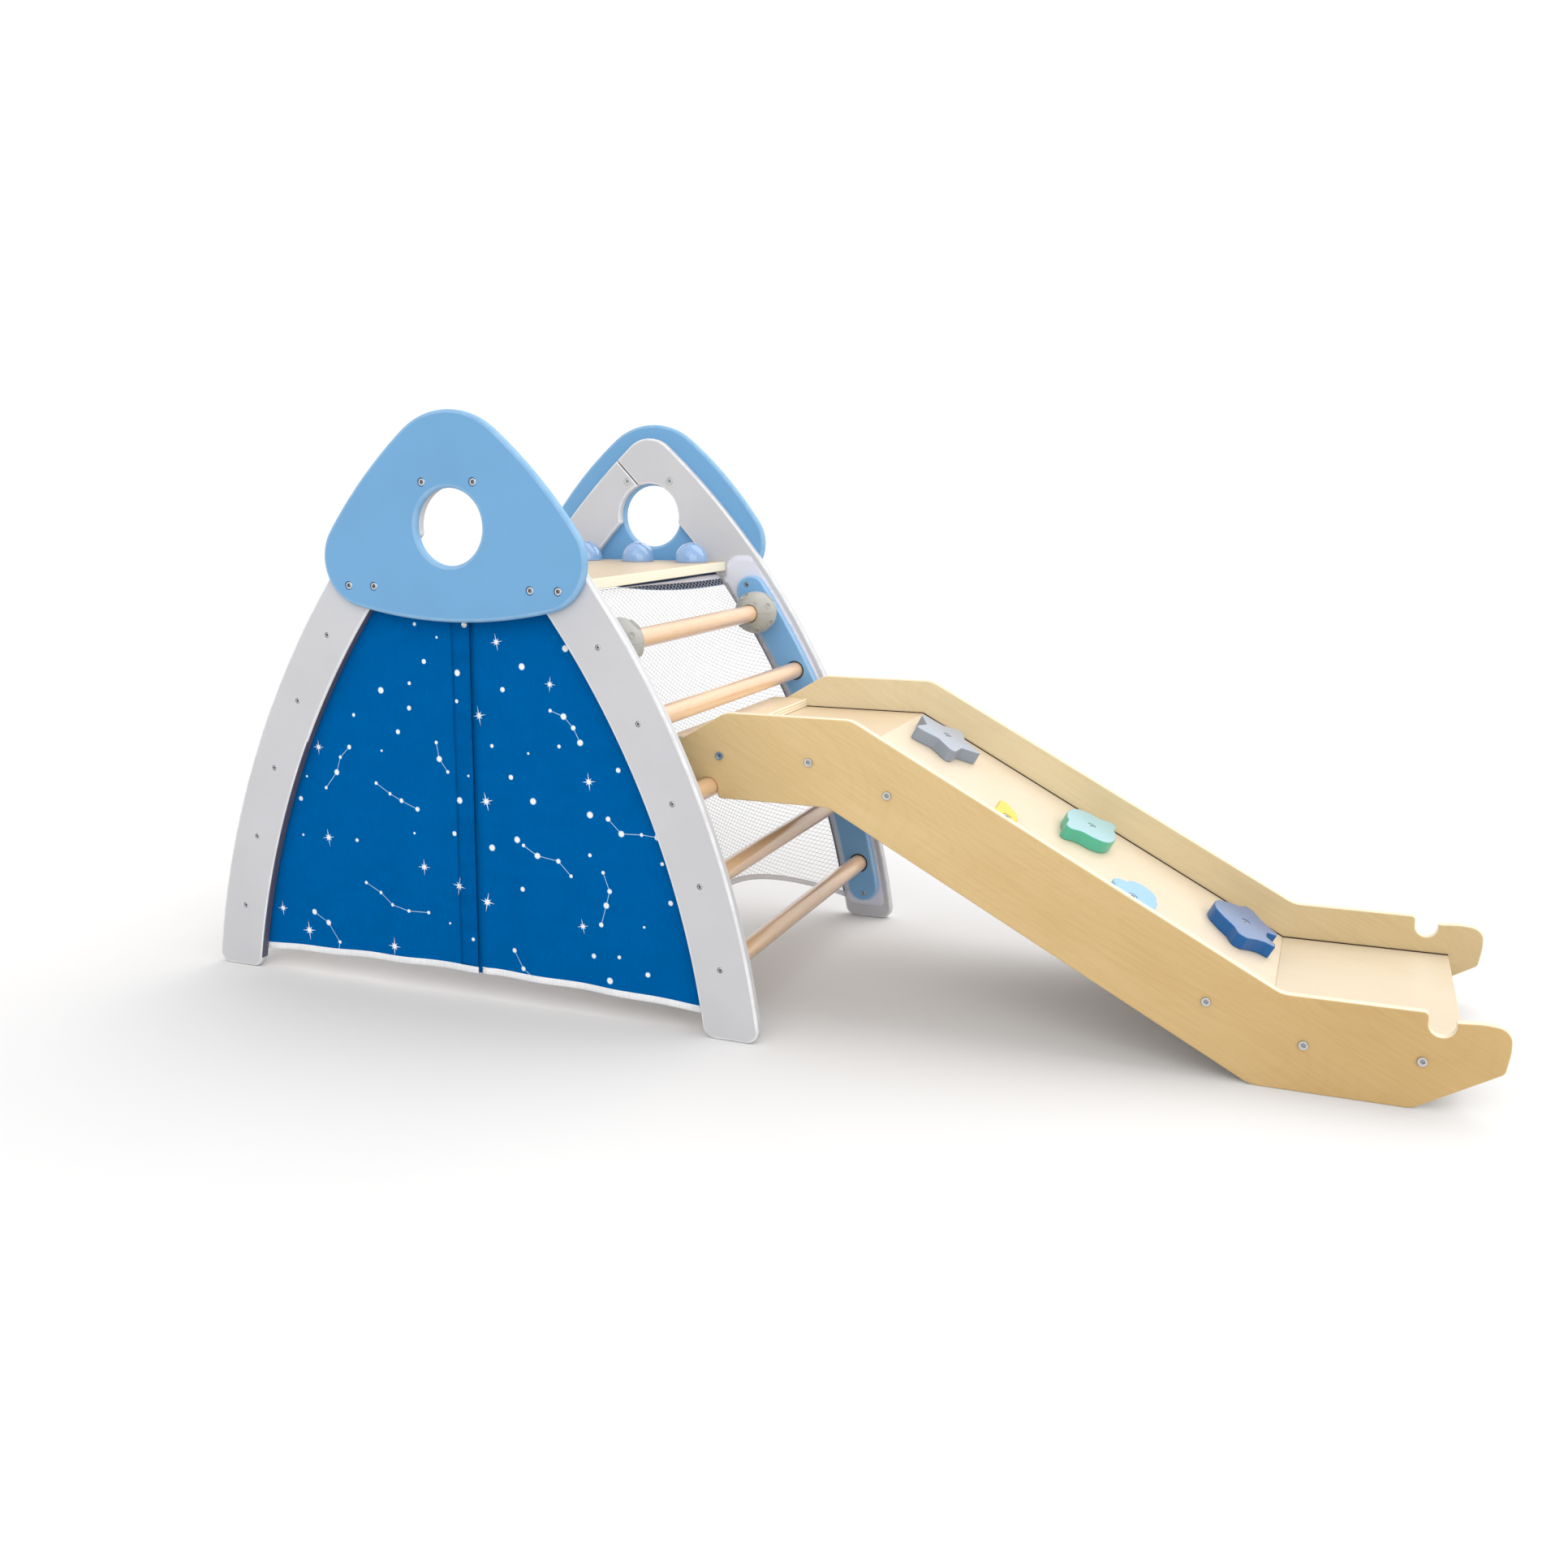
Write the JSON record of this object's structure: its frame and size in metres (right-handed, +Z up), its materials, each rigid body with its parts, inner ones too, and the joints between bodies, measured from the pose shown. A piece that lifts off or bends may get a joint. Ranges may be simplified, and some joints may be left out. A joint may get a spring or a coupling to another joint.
{
  "type": "toddler climbing gym",
  "caption": "Indoor climbing gym for toddlers: a rocket-shaped wooden tower with rungs, net, curtain and console, and a hooked plywood slide with climbing holds.",
  "frame": {"origin": "on the floor, at the middle of the bounding box of the whole gym", "axes": "+X runs from the tower to the foot of the slide, +Y from the curtain side to the open side, +Z is up"},
  "size_m": [2.0288, 0.754, 0.9493],
  "materials": {
    "leg_board": "light grey satin paint on board",
    "nose_board": "light blue satin paint on board",
    "rail_board": "blue satin paint on board",
    "rung_wood": "clear lacquered beech",
    "console_wood": "lacquered plywood",
    "dome_plastic": "glossy",
    "moon_plastic": "warm grey, matte",
    "tape_cloth": "pale lilac woven cloth",
    "net_cord": "fine white knotless netting",
    "curtain_cloth": "printed blue cloth with a white hem",
    "panel_wood": "lacquered plywood",
    "bed_wood": "pale lacquered plywood",
    "star_hold": "pale grey-blue",
    "moon_hold": "yellow",
    "planet_hold": "green",
    "cloud_hold": "light blue",
    "saucer_hold": "deep blue",
    "fastener_steel": "zinc plated"
  },
  "bodies": {
    "tower": {"near_left_leg": "leg_board", "near_right_leg": "leg_board", "far_left_leg": "leg_board", "far_right_leg": "leg_board", "near_nose_plate": "nose_board", "far_nose_plate": "nose_board", "near_left_rail": "rail_board", "near_right_rail": "rail_board", "far_left_rail": "rail_board", "far_right_rail": "rail_board", "right_rung_1": "rung_wood", "right_rung_2": "rung_wood", "right_rung_3": "rung_wood", "right_rung_4": "rung_wood", "right_rung_5": "rung_wood", "left_rung_1": "rung_wood", "left_rung_2": "rung_wood", "left_rung_3": "rung_wood", "left_rung_4": "rung_wood", "left_rung_5": "rung_wood", "console_board": "console_wood", "near_net_tape": "tape_cloth", "far_net_tape": "tape_cloth", "net_panel": "net_cord", "curtain_left": "curtain_cloth", "curtain_right": "curtain_cloth", "curtain_snap": "fastener_steel", "nose_bolts": "fastener_steel", "sleeve_nuts": "fastener_steel", "board_nuts": "fastener_steel", "rung_screws": "fastener_steel", "rail_screws": "fastener_steel"},
    "slide": {"slide_near_panel": "panel_wood", "slide_far_panel": "panel_wood", "upper_bed": "bed_wood", "slope_bed": "bed_wood", "lower_bed": "bed_wood", "stop_batten": "bed_wood", "star_hold": "star_hold", "moon_hold": "moon_hold", "planet_hold": "planet_hold", "cloud_hold": "cloud_hold", "saucer_hold": "saucer_hold", "hold_bolts": "fastener_steel", "hold_nuts": "fastener_steel", "slide_bolts": "fastener_steel", "slide_nuts": "fastener_steel"},
    "near_moon": {"near_moon_upper": "moon_plastic", "near_moon_lower": "moon_plastic", "near_moon_screws": "fastener_steel"},
    "far_moon": {"far_moon_upper": "moon_plastic", "far_moon_lower": "moon_plastic", "far_moon_screws": "fastener_steel"},
    "left_dome": {"dome_left": "dome_plastic", "dome_bolt_left": "fastener_steel"},
    "middle_dome": {"dome_middle": "dome_plastic", "dome_bolt_middle": "fastener_steel"},
    "right_dome": {"dome_right": "dome_plastic", "dome_bolt_right": "fastener_steel"}
  },
  "joints": [
    {"name": "slide_lift", "type": "hinge", "parent": "tower", "child": "slide", "pos_m": [-0.13059, 0, 0.35985], "axis": [0, -1, 0], "range_deg": [0, 15]},
    {"name": "near_moon_spin", "type": "hinge", "parent": "tower", "child": "near_moon", "pos_m": [-0.25251, -0.29079, 0.59134], "axis": [0, 1, 0], "continuous": true},
    {"name": "far_moon_spin", "type": "hinge", "parent": "tower", "child": "far_moon", "pos_m": [-0.25251, 0.29079, 0.59134], "axis": [0, 1, 0], "continuous": true},
    {"name": "left_dome_turn", "type": "hinge", "parent": "tower", "child": "left_dome", "pos_m": [-0.61773, 0.294, 0.684], "axis": [0, 0, 1], "continuous": true},
    {"name": "middle_dome_turn", "type": "hinge", "parent": "tower", "child": "middle_dome", "pos_m": [-0.50273, 0.294, 0.684], "axis": [0, 0, 1], "continuous": true},
    {"name": "right_dome_turn", "type": "hinge", "parent": "tower", "child": "right_dome", "pos_m": [-0.38773, 0.294, 0.684], "axis": [0, 0, 1], "continuous": true}
  ]
}
